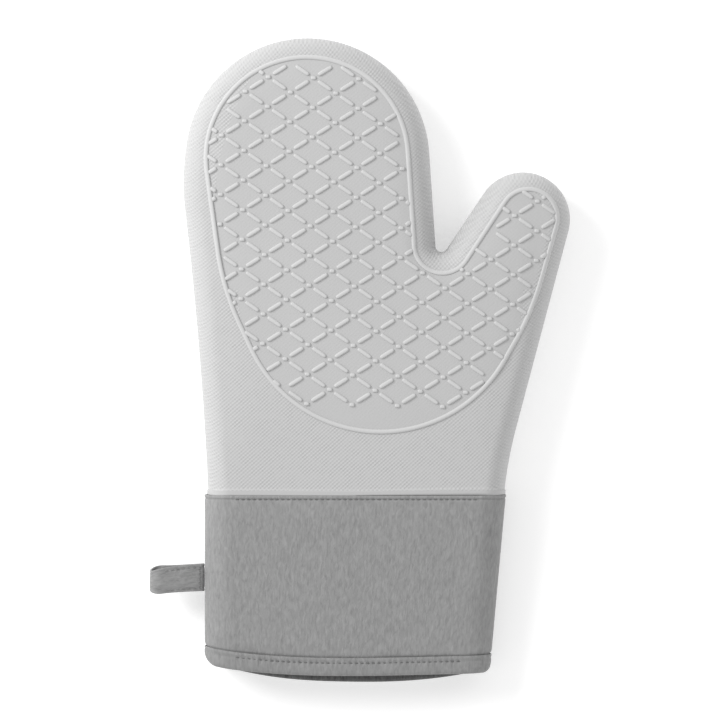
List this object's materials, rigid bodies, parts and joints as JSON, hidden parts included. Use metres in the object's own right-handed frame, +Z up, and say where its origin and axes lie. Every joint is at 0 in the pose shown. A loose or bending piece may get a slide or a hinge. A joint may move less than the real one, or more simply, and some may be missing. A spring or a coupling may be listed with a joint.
{
  "type": "oven mitt",
  "caption": "Moulded silicone oven mitt with a raised diamond grip panel, a quilted lining, a sewn cotton cuff and a hanging loop at its side.",
  "frame": {"origin": "on the resting face, under the middle of the wrist seam, with the mitt lying on its back", "axes": "+X across the hand towards the thumb, +Y from the wrist seam towards the fingertips, +Z up out of the grip panel"},
  "size_m": [0.21, 0.3232, 0.034],
  "materials": {
    "silicone": "matt moulded silicone with a fine woven texture",
    "canvas": "grey cotton canvas with a vertical crepe grain",
    "binding": "grey cotton tape, folded and stitched",
    "loop_tape": "grey cotton tape",
    "facing": "plain grey cotton",
    "lining": "light grey quilted cotton",
    "backing": "thin undyed backing cloth",
    "batting": "white polyester batting",
    "thread": "dark grey polyester sewing thread",
    "pale_thread": "pale polyester sewing thread"
  },
  "bodies": {
    "mitt": {"silicone_shell": "silicone", "backing_front": "backing", "backing_back": "backing", "batting_front": "batting", "batting_back": "batting", "lining_front": "lining", "lining_back": "lining", "quilting_thread_front": "pale_thread", "quilting_thread_back": "pale_thread", "lining_edge_seam": "pale_thread", "cuff_front": "canvas", "cuff_back": "canvas", "cuff_facing_front": "facing", "cuff_facing_back": "facing", "hem_binding": "binding", "cuff_top_stitching": "thread", "hem_stitching": "thread", "side_seam_left": "thread", "side_seam_right": "thread"},
    "loop": {"hanging_loop": "loop_tape", "loop_topstitching": "thread", "loop_bartack": "thread"}
  },
  "joints": [
    {"name": "loop_swing", "type": "hinge", "parent": "mitt", "child": "loop", "pos_m": [-0.0768, -0.041, 0.017], "axis": [0, 1, 0], "range_deg": [-30, 75]}
  ]
}
